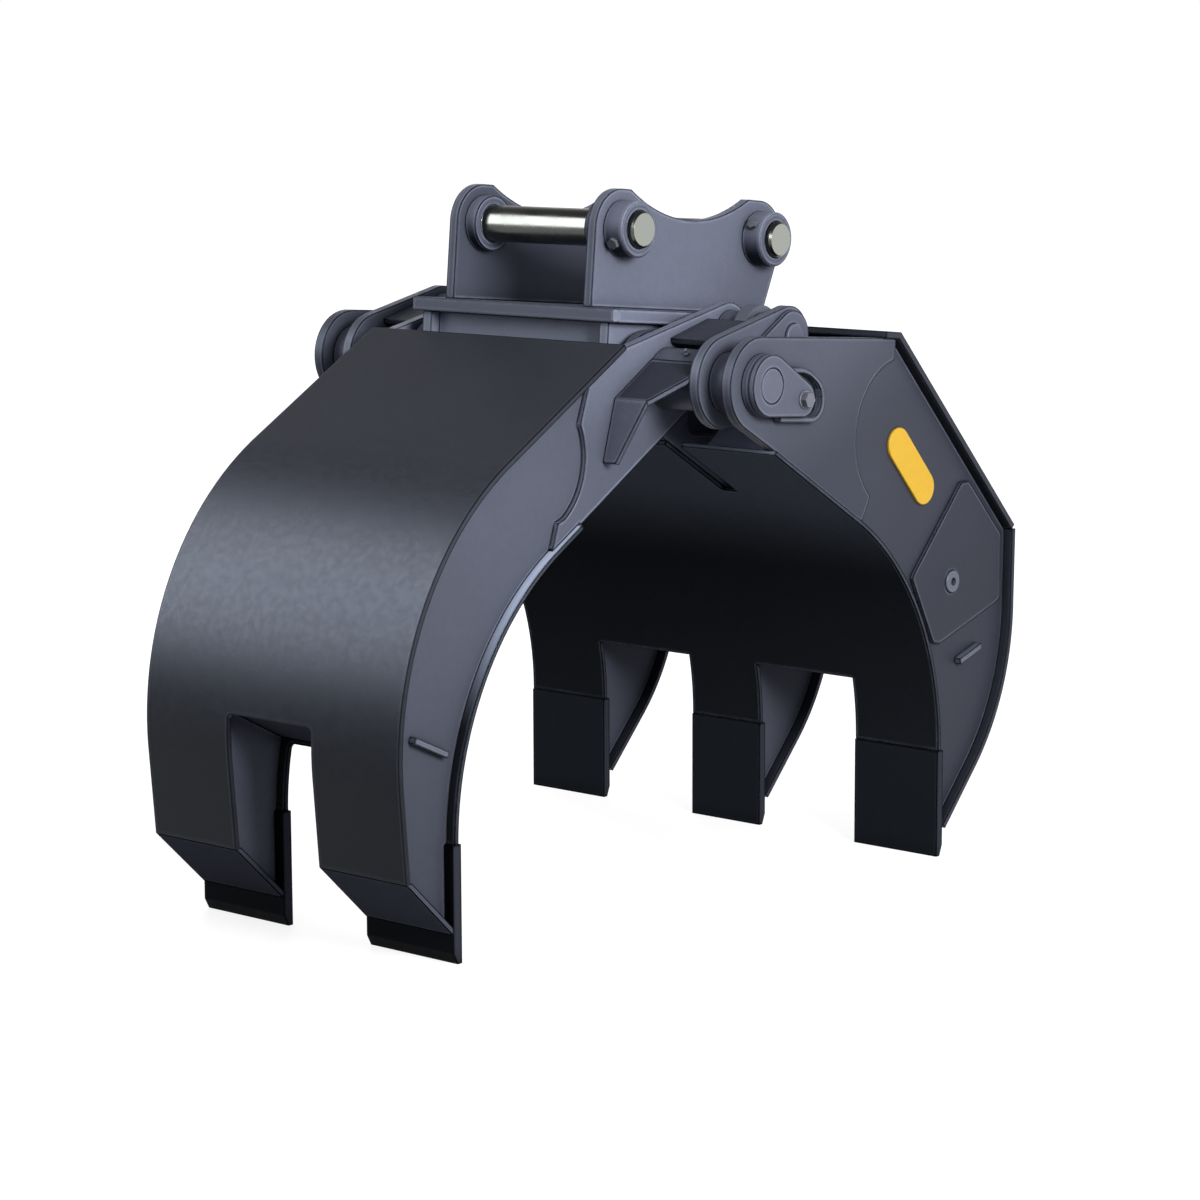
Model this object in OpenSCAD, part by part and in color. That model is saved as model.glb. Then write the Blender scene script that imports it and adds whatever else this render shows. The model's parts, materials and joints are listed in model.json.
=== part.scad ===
// Two-jaw rock grapple for an excavator, opened wide and standing on its tine tips.
// The origin is the centre of the front hitch pin on the mid-plane. +X runs to the rear jaw, +Z is up.
// The shapes are drawn in a head frame: its origin is the main pivot, and its Z is square to the base plate.
// That frame is then leaned by stand_tilt, so that both rows of tips reach the ground.

/* [Hitch] */
// Distance between the two hitch pins
hitch_spacing = 485; // [470:1:510]
// Diameter of both hitch pins
hitch_pin_d = 80; // [70:1:90]
// Height of the hitch pins over the main pivot
hitch_height = 310; // [300:1:340]
// Clear width between the inner bosses, for the excavator's stick
hitch_gap = 312; // [280:1:330]
// Thickness of each ear plate
ear_t = 22.5; // [16:0.5:25]
// Radius of the ear plate round each hitch pin
ear_r = 85; // [75:1:90]
// Diameter of the bosses and collars round the hitch pins
hitch_boss_d = 121; // [114:1:130]
// Width of the outer collars
collar_w = 50; // [40:1:60]
// Thickness of the base plate
base_t = 30; // [22:1:34]

/* [Pivot] */
// Diameter of the two main pivot pins
pivot_pin_d = 74; // [60:1:80]
// Outer diameter of the tubes on the front jaw that turn on the pins
pivot_tube_d = 129; // [115:1:134]
// Diameter of the rod pins
rod_pin_d = 55; // [45:1:60]
// Running clearance of every pin in its bore, on the radius
run_clear = 0.05; // [0.02:0.01:0.1]
// Thickness of the arm and link plates
arm_t = 24; // [18:1:26]

/* [Front jaw] */
// Width over the front jaw
front_w = 722; // [700:1:740]
// Width of the gap between its two tines
front_gap = 241; // [236:1:270]
// Length of the front wear blades
front_blade_l = 246.5; // [200:0.5:280]
// Thickness of the front wear blades
front_blade_t = 25; // [20:1:30]
// Outer radius of the bent back plate
front_back_r = 660; // [656:1:664]

/* [Rear jaw] */
// Width over the rear jaw
rear_w = 1211; // [1200:1:1260]
// Width of the middle tine
rear_mid_w = 202; // [180:1:206]
// Width of each outer tine
rear_tine_w = 229; // [215:1:232]
// Length of the rear wear blades
rear_blade_l = 244; // [200:1:280]
// Thickness of the rear wear blades
rear_blade_t = 22; // [18:1:26]
// Outer radius of the lower back plate
rear_back_r = 517; // [513:1:521]
// Width of the slots that the front jaw's arms pass through
slot_w = 43; // [38:1:45]

/* [Plates] */
// Thickness of the bent shell plates
shell_t = 12; // [10:0.5:14]
// Thickness of the two concave plates
liner_t = 10; // [8:0.5:12]
// Thickness of the side plates
side_t = 16; // [12:0.5:18]
// Thickness of the rear jaw's upper back plate
top_t = 14; // [12:0.5:18]
// Inset of the side plates from the edge of a tine
inset = 23; // [18:0.5:26]

/* [Cylinders] */
// Diameter of the piston rod
rod_d = 60; // [50:1:64]
// Outer diameter of the barrel
barrel_d = 118; // [110:1:120]
// Wall of the barrel
barrel_wall = 10; // [7:0.5:12]
// Diameter of the base pin
base_pin_d = 50; // [40:1:50]
// Diameter of the free bore in the base eye
base_bore_d = 98; // [98:1:104]

/* [Hidden] */

// Colours of the finish
paint = [0.40, 0.41, 0.46];
dark = [0.24, 0.25, 0.29];
steel = [0.72, 0.73, 0.70];
zinc = [0.55, 0.56, 0.60];

// Points in the head frame are [x, z]
// A point on a circle
function on(c, r, a) = [c[0] + r * cos(a), c[1] + r * sin(a)];
// A point reached from p by running l in direction a
function run(p, a, l) = [p[0] + l * cos(a), p[1] + l * sin(a)];
// Points of an arc from angle a to angle b
function arc(c, r, a, b, n) = [for (i = [0 : n]) on(c, r, a + (b - a) * i / n)];

// Hitch
hitch_f = [-8, hitch_height];
hitch_r = [hitch_f[0] + hitch_spacing, hitch_height];
boss_w = 30;
ear_y0 = hitch_gap / 2 + boss_w;
ear_y1 = ear_y0 + ear_t;
collar_y1 = ear_y1 + collar_w;
pin_end = collar_y1 + 14;
base_top = 141;
base_bottom = base_top - base_t;
base_hw = 295;
base_chamfer = 9;
washer_t = 8;
groove_w = 4;
groove_d = 1;
wall_y0 = 241;
wall_y1 = 266;
web_y0 = 286;
web_y1 = 310;

// How far a tangent edge runs inside the round that it meets, so that the two cross cleanly
blend = 0.1;

// Layers across the jaws
pivot = [0, 0];
eye = [207, 101];
arm_y1 = front_w / 2 - 12;
arm_y0 = arm_y1 - arm_t;
front_side_y1 = front_w / 2 - inset;
front_side_y0 = front_side_y1 - side_t;
front_tine_y0 = front_gap / 2 + inset;
front_tine_y1 = front_tine_y0 + side_t;
rear_arm_y1 = rear_w / 2 - 8.5;
rear_arm_y0 = rear_arm_y1 - arm_t;
link_y1 = rear_arm_y0 - 62;
link_y0 = link_y1 - arm_t;
rear_side_y1 = rear_w / 2 - inset;
rear_side_y0 = rear_side_y1 - side_t;
cyl_y = 420;
eye_hw = 16;
eye_r = 63;
bore_r = pivot_pin_d / 2 + run_clear;
rod_bore_r = rod_pin_d / 2 + run_clear;
lobe_r = 65;
link_r = 99;

// Front jaw shell: centres, sweep angles and straight runs of its two bent plates
fb_c = [-131, -717];
fb_a0 = 125;
fb_a1 = 190;
fb_l0 = 426;
fb_l1 = 183;
fc_r = 642;
fc_a0 = 125;
fc_a1 = 184.9;
fc_l0 = 84;
fc_top = [-329.24, -363.1];
fc_c = run(fc_top, fc_a0 - 180, fc_r);
front_slot_z = -725;
front_notch_z = -800;
blade_lean = 5.2;
blade_dir = blade_lean - 90;
fbl = on(fc_c, fc_r - 7, fc_a1);
front_tip = run(fbl, blade_dir, front_blade_l);

// Rear jaw shell
rb_c = [495, -538.5];
rb_a0 = -39.35;
rb_a1 = 4.1;
rb_l0 = 172;
rb_l1 = 174;
rc_r = 636;
rc_a0 = 6.97;
rc_a1 = 64.7;
rc_l0 = 25;
rc_l1 = 355;
rc_top = [375.8, -297];
rc_c = run(rc_top, rc_a1 + 180, rc_r);
top_a = [433, 122];
top_b = [488, 121];
top_dir = -40.5;
top_l = 663;
top_c = run(top_b, top_dir, top_l);
rear_notch_z = -677;
rear_slot_z = -640;
rbl = run(on(rc_c, rc_r - 3.2, rc_a0), rc_a0 - 90, rc_l0);
rear_tip = run(rbl, blade_dir, rear_blade_l);
mid_hw = rear_mid_w / 2;
outer_y0 = rear_w / 2 - rear_tine_w;
slot_y0 = 311;
slot_y1 = slot_y0 + slot_w;

// Lean that brings both rows of tips to the ground
stand_tilt = atan2(rear_tip[1] - front_tip[1], rear_tip[0] - front_tip[0]);

// Cylinders
base = [768.7, -435.6];
cyl_l = norm([base[0] - eye[0], base[1] - eye[1]]);
cyl_a = atan2(base[1] - eye[1], base[0] - eye[0]);
base_eye_r = base_bore_d / 2 + 29;
base_eye_hw = 40;
barrel_in = barrel_d / 2 - barrel_wall;
barrel_x0 = 112;
barrel_x1 = cyl_l - 62;
gland_w = 46;

// Keeper of the main pivot pin
boss_t = 19;
keeper_t = 13.6;
keeper_bolt = [114, -27];

// Places the head frame in the part's own frame
module placed() {
    rotate([0, stand_tilt, 0]) translate([-hitch_f[0], 0, -hitch_f[1]]) children();
}

// An outline in x and z, thickened across from y0 to y1
module slab(y0, y1) {
    translate([0, y1, 0]) rotate([90, 0, 0]) linear_extrude(height = y1 - y0) children();
}

// The same thing on the near and the far side
module both() {
    children();
    mirror([0, 1, 0]) children();
}

// A disc outline
module disc(c, r) {
    translate(c) circle(r = r, $fn = 96);
}

// Everything within a bent line, on the side of its centre: a corner of two straight runs, cut to a radius
module belly(c, r, a0, a1, l0, l1, d) {
    m = (a0 + a1) / 2;
    difference() {
        polygon([run(on(c, r, a0), a0 - 90, l0), on(c, r / cos(a1 - m), m), run(on(c, r, a1), a1 + 90, l1),
            run(on(c, r - d, a1), a1 + 90, l1), on(c, r - d, a1), c, on(c, r - d, a0),
            run(on(c, r - d, a0), a0 - 90, l0)]);
        difference() {
            polygon([on(c, 0.9 * r, a0), on(c, 1.6 * r, a0), on(c, 1.9 * r, m), on(c, 1.6 * r, a1),
                on(c, 0.9 * r, a1)]);
            translate(c) circle(r = r + blend, $fn = 180);
        }
    }
}

// A plate bent to a radius between two straight runs
module bent(c, r, t, a0, a1, l0, l1) {
    difference() {
        belly(c, r, a0, a1, l0, l1, 60);
        belly(c, r - t, a0, a1, l0 + 5, l1 + 5, 80);
        disc(c, r - t - 30);
    }
}

// A ring across the part
module ring(c, r, bore, y0, y1) {
    slab(y0, y1) difference() {
        disc(c, r);
        disc(c, bore);
    }
}

// A solid round across the part
module round_bar(c, r, y0, y1, ch) {
    translate([c[0], y0, c[1]]) rotate([-90, 0, 0]) rotate_extrude($fn = 96)
        polygon([[0, 0], [r - ch, 0], [r, ch], [r, y1 - y0 - ch], [r - ch, y1 - y0], [0, y1 - y0]]);
}

// A hexagon head lying across the part
module hex_head(c, af, y0, y1) {
    translate([c[0], y1, c[1]]) rotate([90, 0, 0]) cylinder(d = af / cos(30), h = y1 - y0, $fn = 6);
}

// Head
module ear_outline() {
    fall = 19.8;
    foot = run(on(hitch_r, ear_r - blend, -fall), -fall - 90, 141);
    difference() {
        union() {
            disc(hitch_f, ear_r);
            disc(hitch_r, ear_r);
            polygon([[hitch_f[0] - ear_r - 1, base_top], [hitch_f[0] - ear_r + blend, hitch_f[1]],
                [hitch_f[0], hitch_f[1] + ear_r - blend], [hitch_r[0], hitch_r[1] + ear_r - blend],
                on(hitch_r, ear_r - blend, -fall), [foot[0] + (base_top - foot[1]) * 0.36, base_top]]);
        }
        disc(hitch_f, hitch_pin_d / 2);
        disc(hitch_r, hitch_pin_d / 2);
        translate([hitch_f[0] + 0.4835 * hitch_spacing, hitch_f[1] + 29 + 414]) circle(r = 414,
            $fn = 180);
    }
}

module head_ears() {
    color(paint) placed() both() slab(ear_y0, ear_y1) ear_outline();
}

module head_bosses() {
    color(paint) placed() both() {
        ring(hitch_f, hitch_boss_d / 2, hitch_pin_d / 2, ear_y0 - boss_w, ear_y0);
        ring(hitch_r, hitch_boss_d / 2, hitch_pin_d / 2, ear_y0 - boss_w, ear_y0);
    }
}

module collar(c, a) {
    difference() {
        translate([c[0], ear_y1, c[1]]) rotate([-90, 0, 0]) rotate_extrude($fn = 96)
            polygon([[hitch_pin_d / 2, 0], [hitch_boss_d / 2, 0], [hitch_boss_d / 2, collar_w - 3],
                [hitch_boss_d / 2 - 3, collar_w], [hitch_pin_d / 2, collar_w]]);
        translate([c[0], (ear_y1 + collar_y1) / 2, c[1]]) rotate([0, 90 - a, 0]) cylinder(r = 8,
            h = 90, $fn = 32);
    }
}

module head_collars() {
    color(paint) placed() {
        mirror([0, 1, 0]) collar(hitch_f, 211);
        mirror([0, 1, 0]) collar(hitch_r, 151);
        ring(hitch_f, hitch_boss_d / 2, hitch_pin_d / 2, ear_y1, ear_y1 + washer_t);
        ring(hitch_r, hitch_boss_d / 2, hitch_pin_d / 2, ear_y1, ear_y1 + washer_t);
    }
}

// A hitch pin, with a grease groove beside each inner boss
module hitch_pin(c) {
    r = hitch_pin_d / 2;
    g = r - groove_d;
    b = ear_y0 - boss_w;
    e = ear_y1 + washer_t + 3;
    translate([c[0], 0, c[1]]) rotate([-90, 0, 0]) rotate_extrude($fn = 96)
        polygon([[0, -pin_end], [r - 5, -pin_end], [r, 5 - pin_end], [r, -b], [g, -b], [g, groove_w - b],
            [r, groove_w - b], [r, b - groove_w], [g, b - groove_w], [g, b], [r, b], [r, e - 3],
                [r - 3, e], [0, e]]);
}

module hitch_pin_front() {
    color(steel) placed() hitch_pin(hitch_f);
}

module hitch_pin_rear() {
    color(steel) placed() hitch_pin(hitch_r);
}

// A lock bolt screwed square into a collar until it stands on the pin
module lock_bolt(c, a) {
    translate([c[0], (ear_y1 + collar_y1) / 2, c[1]]) rotate([0, 90 - a, 0]) {
        translate([0, 0, hitch_pin_d / 2 + 0.3]) cylinder(r = 8,
            h = hitch_boss_d / 2 - hitch_pin_d / 2, $fn = 32);
        translate([0, 0, hitch_boss_d / 2 + 0.3]) cylinder(d = 26, h = 8, $fn = 6);
    }
}

module hitch_lock_bolts() {
    color(zinc) placed() mirror([0, 1, 0]) {
        lock_bolt(hitch_f, 211);
        lock_bolt(hitch_r, 151);
    }
}

module head_base_plate() {
    x0 = hitch_f[0] - 106;
    x1 = hitch_r[0] + 49;
    c = base_chamfer;
    w = base_hw;
    color(paint) placed() translate([0, 0, base_bottom]) linear_extrude(height = base_t)
        polygon([[x0 + c, -w], [x1 - c, -w], [x1, c - w], [x1, w - c], [x1 - c, w], [x0 + c, w], [x0,
            w - c], [x0, c - w]]);
}

// Height of the rear jaw's concave plate, on its back, along its straight run
rc_back = rc_r + liner_t;
function rc_at(s) = run(on(rc_c, rc_back, rc_a1), rc_a1 + 90, s);

module wall_outline() {
    difference() {
        polygon([[-102, base_bottom], [-102, -40], [-40, -122], rc_at(rc_l1), rc_at(40),
            [470, -60], [470, top_a[1] - top_t], [432, top_a[1] - top_t], [432, base_bottom]]);
        disc([120, -30], 40);
        disc([280, -60], 55);
    }
}

module head_box_walls() {
    color(paint) placed() both() slab(wall_y0, wall_y1) wall_outline();
}

module head_box_front() {
    color(paint) placed() slab(-wall_y0, wall_y0)
        polygon([[-76, base_bottom], [-76, -42], [-28, -108], [26, -108], [26, -96],
            [-22, -96], [-64, -38], [-64, base_bottom]]);
}

// Rear jaw
// Edge between the arm plate and the side plate
seam_c = [523, -103];
seam_r = 168;
top_in = run(top_b, top_dir / 2 - 90, top_t / cos(top_dir / 2));
rear_seam = concat([[481, top_in[1]], [481, 60]], arc(seam_c, seam_r, 105.5, 233, 14));

module rear_arm_outline() {
    q = rc_at(rc_l1 + 5);
    qa = atan2(q[1], q[0]) - acos((link_r + 1) / norm(q));
    difference() {
        union() {
            disc(pivot, link_r + 1);
            difference() {
                polygon(concat([[0, link_r + 1 - blend], [433, top_in[1]]], rear_seam,
                    [[396, -292], rc_at(0), rc_at(rc_l1 - 30), q, on(pivot, link_r + 1 - blend, qa),
                        [0, 0]]));
                belly(rc_c, rc_back, rc_a0, rc_a1, 60, rc_l1 + 30, 300);
            }
        }
        disc(pivot, pivot_pin_d / 2);
    }
}

module rear_arm_plates() {
    color(paint) placed() both() slab(rear_arm_y0, rear_arm_y1) rear_arm_outline();
}

// Inside of the rear jaw's shell, between its back plates and its concave plate
module rear_inside() {
    ti = run(top_b, top_dir / 2 - 90, top_t / cos(top_dir / 2));
    te = run(top_c, top_dir - 90, top_t);
    difference() {
        union() {
            belly(rb_c, rear_back_r - shell_t, rb_a0, rb_a1, rb_l0, rb_l1 - 12, 250);
            polygon([[50, -135], [90, 107], [ti[0], ti[1]], te,
                run(on(rb_c, rear_back_r - shell_t, rb_a1), rb_a1 + 90, rb_l1 - 12), rb_c, [400, -300]]);
        }
        belly(rc_c, rc_back, rc_a0, rc_a1, 60, rc_l1 + 10, 600);
        polygon([[600, -700], [rbl[0] + 18, rbl[1] + 2], run(rbl, blade_dir + 90, rear_blade_t),
            run(run(rbl, blade_dir + 90, rear_blade_t), blade_dir, 400), [600, -1300]]);
        polygon([[50, ti[1]], [ti[0], ti[1]], te, [te[0] + 60, te[1] - 51], [1200, 300], [50, 300]]);
    }
}

module rear_side_outline() {
    difference() {
        rear_inside();
        polygon(concat([[481, 200]], rear_seam, [[396, -292], [380, -330], [0, -330], [0, 200]]));
        disc(base, base_pin_d / 2);
    }
}

module rear_side_plates() {
    color(paint) placed() both() slab(rear_side_y0, rear_side_y1) rear_side_outline();
}

// A window with round corners in each inner web
module web_window(x0, z0, x1, z1, r) {
    translate([x0 + r, z0]) square([x1 - x0 - 2 * r, z1 - z0]);
    translate([x0, z0 + r]) square([x1 - x0, z1 - z0 - 2 * r]);
    for (x = [x0 + r, x1 - r], z = [z0 + r, z1 - r]) translate([x, z]) circle(r = r, $fn = 48);
}

module rear_inner_webs() {
    color(dark) placed() both() slab(web_y0, web_y1) difference() {
        union() {
            disc(pivot, link_r);
            intersection() {
                rear_inside();
                polygon([[-40, 107], [1200, 107], [1200, -600], [600, -600], [-40, -600]]);
            }
            difference() {
                polygon([[-70, -70], [0, 99], [90, 107], [140, 0], rc_at(rc_l1), rc_at(rc_l1 + 8)]);
                belly(rc_c, rc_back, rc_a0, rc_a1, 60, rc_l1 + 10, 300);
            }
        }
        disc(pivot, pivot_pin_d / 2);
        disc(base, base_pin_d / 2);
        web_window(132, -122, 250, 20, 22);
    }
}

module rear_upper_back_plate() {
    ti = run(top_b, top_dir / 2 - 90, top_t / cos(top_dir / 2));
    color(dark) placed() difference() {
        slab(-rear_w / 2, rear_w / 2)
            polygon([top_a, top_b, top_c, run(top_c, top_dir - 90, top_t), ti, [top_a[0], ti[1]]]);
        translate([top_a[0] - 50, -base_hw - 3, 0]) cube([hitch_r[0] + 52 - top_a[0] + 50,
            2 * base_hw + 6, 300]);
    }
}

// The gaps between the rear tines, cut up to a given height
module rear_gap_cut(z) {
    both() translate([400, mid_hw, -1300]) cube([900, outer_y0 - mid_hw, 1300 + z]);
}

module rear_lower_back_plate() {
    te = run(top_c, top_dir - 90, top_t);
    color(paint) placed() difference() {
        slab(-rear_w / 2, rear_w / 2) difference() {
            bent(rb_c, rear_back_r, shell_t, rb_a0, rb_a1, rb_l0, rb_l1 + 45);
            polygon([run(te, top_dir, -200), te, run(te, 5, 200), [1300, 0], [900, 200]]);
            polygon([[600, -900], run(run(rbl, blade_dir + 90, rear_blade_t), blade_dir, 0),
                run(run(rbl, blade_dir + 90, rear_blade_t), blade_dir, 400), [600, -1300]]);
        }
        rear_gap_cut(rear_slot_z);
    }
}

module rear_concave_plate() {
    color(dark) placed() difference() {
        slab(-rear_w / 2, rear_w / 2) bent(rc_c, rc_back, liner_t, rc_a0, rc_a1, rc_l0, rc_l1);
        rear_gap_cut(rear_notch_z);
        both() translate([-50, slot_y0, -242]) cube([400, slot_y1 - slot_y0, 242]);
    }
}

// Walls of the rear tines, under the roofs of the gaps
module rear_roof_line(d) {
    polygon([[500, -668 + d], [732, -668 + d], [1010, -628 + d], [1200, -628 + d], [1200, -1300], [500,
        -1300]]);
}

module rear_tine_plates() {
    color(paint) placed() both() {
        slab(mid_hw - inset - side_t, mid_hw - inset) intersection() {
            rear_inside();
            rear_roof_line(0);
        }
        slab(outer_y0 + inset, outer_y0 + inset + side_t) intersection() {
            rear_inside();
            rear_roof_line(0);
        }
    }
}

module rear_gap_roofs() {
    color(dark) placed() both() slab(mid_hw - inset - side_t, outer_y0 + inset + side_t) intersection() {
        rear_inside();
        difference() {
            rear_roof_line(shell_t);
            rear_roof_line(0);
        }
    }
}

module rear_floor_plates() {
    p = rc_at(rc_l1 - 62);
    color(paint) placed() both() slab(slot_y1 + 5, rear_arm_y0)
        polygon([p, rc_at(rc_l1 - 80), run(rc_at(rc_l1 - 80), 41, 140), run(p, 41, 152)]);
}

module blade(root, side, t, l, y0, y1, bw, bh) {
    n = side > 0 ? blade_dir + 90 : blade_dir - 90;
    slab(y0, y1) polygon([root, run(root, blade_dir, l), run(run(root, blade_dir, l), n, t - bw),
        run(run(root, blade_dir, l - bh), n, t), run(root, n, t)]);
}

module rear_outer_blades() {
    color(dark) placed() both() blade(rbl, 1, rear_blade_t, rear_blade_l, outer_y0, rear_w / 2, 10, 25);
}

module rear_middle_blade() {
    color(dark) placed() blade(rbl, 1, rear_blade_t, rear_blade_l, -mid_hw, mid_hw, 10, 25);
}

cover_pts = [[784, -212], [813, -208], [958, -330], [973, -480], [953, -492], [738, -576], [711, -573],
    [613, -426], [618, -414]];

module rear_covers() {
    color(paint) placed() both() slab(rear_side_y1, rear_side_y1 + 9) difference() {
        polygon(cover_pts);
        disc(base, base_pin_d / 2);
    }
}

module cylinder_base_pins() {
    color(zinc) placed() both() difference() {
        round_bar(base, base_pin_d / 2, web_y0, rear_side_y1 + 14, 2);
        translate([base[0], rear_side_y1 + 4, base[1]]) rotate([-90, 0, 0]) cylinder(r = 9, h = 30,
            $fn = 32);
    }
}

module base_pin_spacers() {
    color(zinc) placed() both() {
        ring(base, base_pin_d / 2 + 12, base_pin_d / 2, web_y1, cyl_y - base_eye_hw - 2);
        ring(base, base_pin_d / 2 + 12, base_pin_d / 2, cyl_y + base_eye_hw + 2, rear_side_y0);
    }
}

module main_pivot_pins() {
    color(zinc) placed() both() round_bar(pivot, pivot_pin_d / 2, web_y0,
        rear_arm_y1 + boss_t + keeper_t, 2);
}

module pivot_bosses() {
    color(paint) placed() both() ring(pivot, lobe_r, pivot_pin_d / 2, rear_arm_y1, rear_arm_y1 + boss_t);
}

module keeper_outline() {
    difference() {
        union() {
            disc(pivot, lobe_r);
            disc(keeper_bolt, 37);
            polygon([on(pivot, lobe_r - blend, 65), on(keeper_bolt, 37 - blend, 65),
                on(keeper_bolt, 37 - blend, -90), on(pivot, lobe_r - blend, -90), pivot]);
        }
        disc(pivot, pivot_pin_d / 2);
    }
}

module pivot_keepers() {
    y = rear_arm_y1 + boss_t;
    color(paint) placed() both() slab(y, y + keeper_t) keeper_outline();
}

module pivot_keeper_bolts() {
    y = rear_arm_y1 + boss_t + keeper_t;
    color(zinc) placed() both() {
        round_bar(keeper_bolt, 19.5, y, y + 3, 1);
        hex_head(keeper_bolt, 30, y + 3, y + 16);
    }
}

// A bent bar that guards the keeper's bolt
module guard_outer() {
    disc([163, -32], 44);
    polygon([[40, -76 + blend], [163, -76 + blend], [163, -32], [206, -22], [202, -6], [189.5, 9.5],
        [165, 24], [146, 34], [124, 39], [40, 39]]);
}

module guard_inner() {
    disc([163, -33], 32);
    polygon([[30, -65 + blend], [163, -65 + blend], [163, -33], [194.5, -22], [190, -6], [177, 8], [160, 17],
        [151, 22], [134, 26.5], [122, 28], [30, 28]]);
}

module pivot_keeper_guards() {
    color(paint) placed() both() slab(rear_arm_y1, rear_arm_y1 + boss_t) difference() {
        guard_outer();
        guard_inner();
        translate([0, -200]) square([52, 400]);
        disc(pivot, lobe_r + 0.3);
    }
}

module rear_lugs() {
    color(paint) placed() both() slab(rear_side_y1, rear_side_y1 + 17)
        polygon([[812, -613], [895, -581], run([895, -581], -70, 14), run([812, -613], -70, 14)]);
}

module rear_bulkhead() {
    p = [640, -280];
    color(dark) placed() slab(-web_y0, web_y0) intersection() {
        rear_inside();
        polygon([p, run(p, 49.5, 400), run(run(p, 49.5, 400), -40.5, shell_t), run(run(p, 49.5, -400),
            -40.5, shell_t),
            run(p, 49.5, -400)]);
    }
}

// Front jaw
fb_in = front_back_r - shell_t;
fc_back = fc_r + liner_t;
function fb_at(s) = run(on(fb_c, fb_in, fb_a0), fb_a0 - 90, s);
function fc_at(s) = run(on(fc_c, fc_back, fc_a0), fc_a0 - 90, s);
edge_a = 17.4;
under_a = 35.2;
fc_in = on(fc_c, fc_back, fc_a0);
front_seam = concat([fb_at(306), [-270, -77]], arc([-404, -178], 150, 31, -51, 12), [[fc_in[0] + 5,
    fc_in[1] + 52]]);

module front_arm_outline() {
    difference() {
        union() {
            disc(eye, lobe_r);
            difference() {
                polygon(concat([on(eye, lobe_r - blend, edge_a + 90), fb_at(fb_l0), fb_at(380)],
                    front_seam,
                    [[fc_in[0] - 9, fc_in[1] - 9], fc_at(0), fc_at(fc_l0 - 20), fc_at(fc_l0),
                        [fc_at(fc_l0)[0] + 10, fc_at(fc_l0)[1] + 1],
                    on(eye, lobe_r - blend, under_a - 90), eye]));
                belly(fc_c, fc_back, fc_a0, fc_a1, fc_l0 + 5, 60, 300);
            }
        }
        disc(pivot, bore_r);
        disc(eye, rod_pin_d / 2);
    }
}

module front_arm_plates() {
    color(paint) placed() both() slab(arm_y0, arm_y1) front_arm_outline();
}

// Inside of the front jaw's shell
close_a = run(on(fb_c, front_back_r, fb_a1), fb_a1 + 90, fb_l1);
close_b = run(run(fbl, blade_dir - 90, front_blade_t), blade_dir, 185);
close_dir = atan2(close_b[1] - close_a[1], close_b[0] - close_a[0]);

module front_inside() {
    difference() {
        belly(fb_c, fb_in, fb_a0, fb_a1, fb_l0, fb_l1 + 150, 420);
        belly(fc_c, fc_back, fc_a0, fc_a1, fc_l0 + 400, 0, 620);
        polygon([[-200, -700], on(fc_c, fc_back, fc_a1 - 1), on(fc_c, fc_back, fc_a1), run(fbl,
            blade_dir - 90, front_blade_t),
            run(run(fbl, blade_dir - 90, front_blade_t), blade_dir, 400), [-200, -1400]]);
        polygon([run(close_a, close_dir + 90, shell_t), run(run(close_a, close_dir + 90, shell_t),
            close_dir, 600),
            [-300, -1600], [-1100, -1600], [-1100, close_a[1] + 15]]);
    }
}

module front_side_outline() {
    difference() {
        front_inside();
        polygon(concat([[0, 300], [-200, 300], fb_at(306)], front_seam, [[fc_in[0] - 9, fc_in[1] - 9],
            [fc_in[0] + 5, fc_in[1] - 67], [0, -420]]));
    }
}

module front_side_plates() {
    color(paint) placed() both() slab(front_side_y0, front_side_y1) front_side_outline();
}

module front_gap_cut(z, r) {
    translate([-1100, -front_gap / 2, -1300]) cube([800, front_gap, 1300 + z - r]);
    translate([-1100, -front_gap / 2 + r, -1300]) cube([800, front_gap - 2 * r, 1300 + z]);
    for (y = [r - front_gap / 2, front_gap / 2 - r]) translate([-1100, y, z - r]) rotate([0, 90, 0])
        cylinder(r = r, h = 800, $fn = 32);
}

module front_back_plate() {
    color(dark) placed() difference() {
        slab(-front_w / 2, front_w / 2) bent(fb_c, front_back_r, shell_t, fb_a0, fb_a1, fb_l0, fb_l1);
        front_gap_cut(front_slot_z, 12);
    }
}

module front_concave_plate() {
    color(dark) placed() difference() {
        slab(-front_w / 2, front_w / 2) bent(fc_c, fc_back, liner_t, fc_a0, fc_a1, fc_l0, 0);
        front_gap_cut(front_notch_z, 12);
    }
}

module front_roof_line(d) {
    polygon([[-900, -716 + d], [-779, -716 + d], [-603, -790 + d], [-500, -790 + d], [-500, -1300],
        [-900, -1300]]);
}

module front_tine_plates() {
    color(paint) placed() both() slab(front_tine_y0, front_tine_y1) intersection() {
        front_inside();
        front_roof_line(0);
    }
}

module front_slot_roof() {
    color(dark) placed() slab(-front_tine_y1, front_tine_y1) intersection() {
        front_inside();
        difference() {
            front_roof_line(shell_t);
            front_roof_line(0);
        }
    }
}

module front_closing_plates() {
    p = run(fbl, blade_dir - 90, front_blade_t);
    color(paint) placed() both() slab(front_gap / 2, front_w / 2) difference() {
        polygon([close_a, run(close_a, close_dir, 400), run(run(close_a, close_dir, 400),
            close_dir + 90, shell_t),
            run(close_a, close_dir + 90, shell_t)]);
        polygon([p, run(p, blade_dir, 400), [-200, -1400], [-200, -900]]);
        belly(fb_c, front_back_r, fb_a0, fb_a1, 10, fb_l1, 40);
    }
}

module front_blades() {
    color(dark) placed() both()
        blade(fbl, -1, front_blade_t, front_blade_l, front_gap / 2 - 0.8, front_w / 2 + 0.2, 12, 23);
}

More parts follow.
